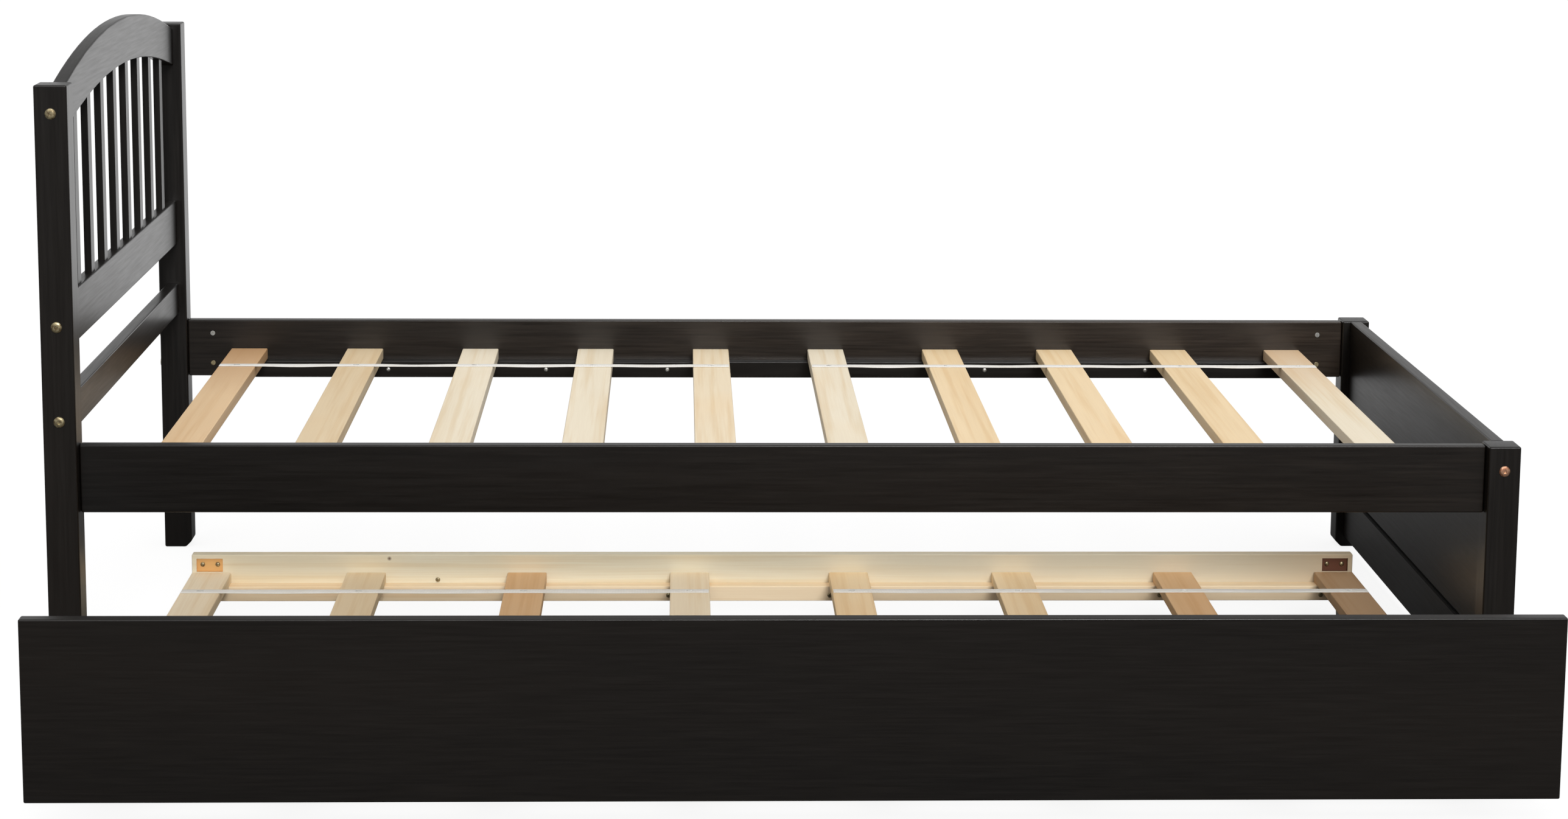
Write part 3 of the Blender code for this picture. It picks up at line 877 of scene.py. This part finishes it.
def straps_and_staples(staple, zinc):
    tape = webbing()
    sets = (
        ("bed", numbered("bed_slat", range(1, 11), 2), BED_SAG),
        ("trundle", numbered("trundle_slat", range(1, 9)), DECK_SAG),
    )
    for body, slats, sag in sets:
        half = len(slats) // 2
        staples = []
        for end, members in (("head", slats[:half]), ("foot", slats[half:])):
            for side in ("front", "rear"):
                node = f"{body}_strap_{end}_{side}"
                y = strap(f"{body}_webbing_{end}_{side}", node, members, body, sag, tape)
                for slat in members:
                    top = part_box(slat)[1].z + FIT + WEBBING_THICKNESS
                    staples.append(facing((middle(slat, "X"), y, top), (0, 0, 1), 0))
        group(f"{body}_strap_staples", staple, staples, body, zinc)


# ---------------------------------------------------------------- studio


def floor():
    """A pale floor. The wood reflects it as a studio's: dark in front, bright toward the backdrop."""
    form = bmesh.new()
    bmesh.ops.create_grid(form, x_segments=1, y_segments=1, size=FLOOR_SIZE / 2)
    made = as_object("floor", form)
    made.location.z = -FLOOR_DROP
    shader = Shader("pale_floor", Base_Color=(FLOOR_ALBEDO, FLOOR_ALBEDO, FLOOR_ALBEDO, 1.0), Roughness=1.0)
    shader.surface.inputs["Specular IOR Level"].default_value = 0.0
    shader.surface.inputs["Emission Color"].default_value = WHITE
    here = shader.add("TexCoord").outputs["Object"]
    behind = shader.add("SeparateXYZ", {"Vector": here}).outputs["Y"]
    far = shader.spread(behind, *BACKDROP_START, 0.0, BACKDROP_GLOW)
    seen = shader.add("LightPath").outputs["Is Camera Ray"]
    inputs = {0: seen, 2: far, 3: FLOOR_GLOW}
    glow = shader.add("Mix", inputs, data_type="FLOAT").outputs[0]
    shader.drive("Emission Strength", glow)
    made.data.materials.append(shader.material)


def sky():
    """A soft surround, brightest low down behind the bed, which the camera sees as white."""
    world = bpy.data.worlds.new("studio")
    world.use_nodes = True
    nodes = Nodes(world.node_tree)
    background = nodes.tree.nodes["Background"]
    background.inputs["Color"].default_value = WHITE
    direction = nodes.add("TexCoord").outputs["Generated"]
    parts = nodes.add("SeparateXYZ", {"Vector": direction}).outputs
    low = nodes.spread(parts["Z"], *SKY_FALL, 1.0, 0.0)
    behind = nodes.spread(parts["Y"], *SKY_TURN, 0.0, 1.0)
    level = nodes.spread(nodes.math("MULTIPLY", low, behind), 0.0, 1.0, SKY_DOME, SKY_HORIZON)
    seen = nodes.add("LightPath").outputs["Is Camera Ray"]
    nodes.tree.links.new(nodes.math("MAXIMUM", level, seen), background.inputs["Strength"])
    bpy.context.scene.world = world


def softboxes():
    for name, (strength, size, (to_front, to_foot)) in SOFTBOXES.items():
        light = bpy.data.lights.new(name, "SUN")
        light.energy = strength
        light.angle = radians(size)
        made = bpy.data.objects.new(name, light)
        made.rotation_euler = (radians(to_front), 0.0, radians(to_foot))
        bpy.context.scene.collection.objects.link(made)


def camera():
    data = bpy.data.cameras.new("camera")
    data.lens = CAMERA_LENS
    data.sensor_width = SENSOR_WIDTH
    data.shift_y = CAMERA_SHIFT
    data.clip_end = CLIP_END
    made = bpy.data.objects.new("camera", data)
    turn = Matrix.Rotation(radians(CAMERA_YAW), 4, "Z")
    tilt = Matrix.Rotation(radians(CAMERA_PITCH), 4, "X")
    roll = Matrix.Rotation(radians(CAMERA_ROLL), 4, "Y")
    level = Matrix.Rotation(radians(90), 4, "X")
    made.matrix_world = Matrix.Translation(CAMERA_AT) @ turn @ tilt @ roll @ level
    bpy.context.scene.collection.objects.link(made)
    bpy.context.scene.camera = made


def clear_startup():
    for name in ("Cube", "Light", "Camera"):
        if name in bpy.data.objects:
            bpy.data.objects.remove(bpy.data.objects[name])


def main():
    clear_startup()
    bpy.context.scene.view_settings.view_transform = "Standard"
    camera()
    floor()
    sky()
    softboxes()
    finish_dark_wood()
    finish_pine()
    brass, copper, zinc = (metal(name, *look) for name, look in METALS.items())
    paint(corners("caster_bracket"), zinc)
    paint(corners("caster_wheel"), nylon())
    bolt = bolt_mesh()
    screw = screw_mesh()
    board_bolts(bolt, {"head": brass, "foot": copper})
    side_rail_bolts(bolt, nut_mesh(), brass, zinc)
    ledger_screws(screw, zinc, brass)
    pocket_screws(screw, brass)
    caster_screws(screw, zinc)
    footboard_spline(espresso("Y", 9))
    straps_and_staples(staple_mesh(), zinc)


main()
